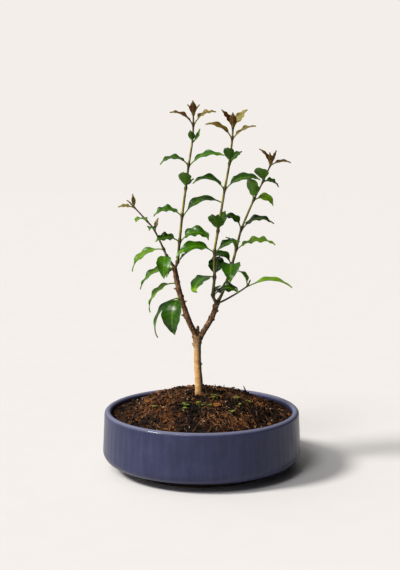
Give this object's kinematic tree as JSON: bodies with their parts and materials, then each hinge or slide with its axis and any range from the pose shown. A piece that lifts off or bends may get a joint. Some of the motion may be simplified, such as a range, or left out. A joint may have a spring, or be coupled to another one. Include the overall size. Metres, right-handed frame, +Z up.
{
  "type": "bonsai tree in a pot",
  "caption": "Young forked bonsai tree with leafy upright shoots, growing in mounded soil in a shallow round glazed pot.",
  "frame": {"origin": "centre of the pot's foot ring, at its underside", "axes": "+Z up the tree, +X to the right when the tree's front is looked at, -Y towards the front"},
  "size_m": [0.17, 0.17, 0.312],
  "materials": {
    "slate_blue_glaze": "satin stoneware glaze",
    "black_plastic": "moulded",
    "potting_soil": "loose peat and coir",
    "bark": "young bark",
    "green_bark": "green shoot",
    "leaf_green": "glossy leaf",
    "leaf_lime": "satin leaf",
    "leaf_copper": "satin young leaf",
    "seedling_green": "soft seed leaf"
  },
  "bodies": {
    "root": {"pot": "slate_blue_glaze", "drain_mesh": "black_plastic", "soil": "potting_soil", "trunk": "bark", "shoot_left": "green_bark", "shoot_side": "green_bark", "shoot_centre": "green_bark", "shoot_right": "green_bark", "shoot_low": "green_bark", "leaf_left_5a": "leaf_green", "leaf_left_5b": "leaf_green", "leaf_left_4a": "leaf_green", "leaf_left_4b": "leaf_green", "leaf_left_3a": "leaf_green", "leaf_left_3b": "leaf_green", "leaf_left_2a": "leaf_green", "leaf_left_2b": "leaf_green", "leaf_left_1b": "leaf_green", "leaf_centre_6a": "leaf_green", "leaf_centre_6b": "leaf_green", "leaf_centre_5a": "leaf_green", "leaf_centre_5b": "leaf_green", "leaf_centre_4a": "leaf_green", "leaf_centre_4b": "leaf_green", "leaf_centre_3a": "leaf_green", "leaf_centre_3b": "leaf_green", "leaf_centre_2a": "leaf_green", "leaf_centre_2b": "leaf_green", "leaf_centre_1b": "leaf_green", "leaf_right_6a": "leaf_green", "leaf_right_6b": "leaf_green", "leaf_right_5a": "leaf_green", "leaf_right_4a": "leaf_green", "leaf_right_4b": "leaf_green", "leaf_right_3a": "leaf_green", "leaf_right_2a": "leaf_green", "leaf_right_2b": "leaf_green", "leaf_side_1a": "leaf_green", "leaf_left_limb_3a": "leaf_green", "leaf_left_limb_3b": "leaf_green", "leaf_right_5b": "leaf_lime", "leaf_right_3b": "leaf_lime", "leaf_side_4a": "leaf_lime", "leaf_side_2a": "leaf_lime", "leaf_left_limb_5a": "leaf_lime", "leaf_left_limb_4a": "leaf_lime", "leaf_low_4a": "leaf_lime", "leaf_low_4b": "leaf_lime", "leaf_left_7a": "leaf_copper", "leaf_left_7b": "leaf_copper", "leaf_centre_7a": "leaf_copper", "leaf_centre_7b": "leaf_copper", "leaf_centre_8a": "leaf_copper", "leaf_centre_8b": "leaf_copper", "leaf_right_7a": "leaf_copper", "leaf_right_7b": "leaf_copper", "leaf_side_5a": "leaf_copper", "seedling_1": "seedling_green", "seedling_2": "seedling_green", "seedling_3": "seedling_green"}
  },
  "joints": []
}
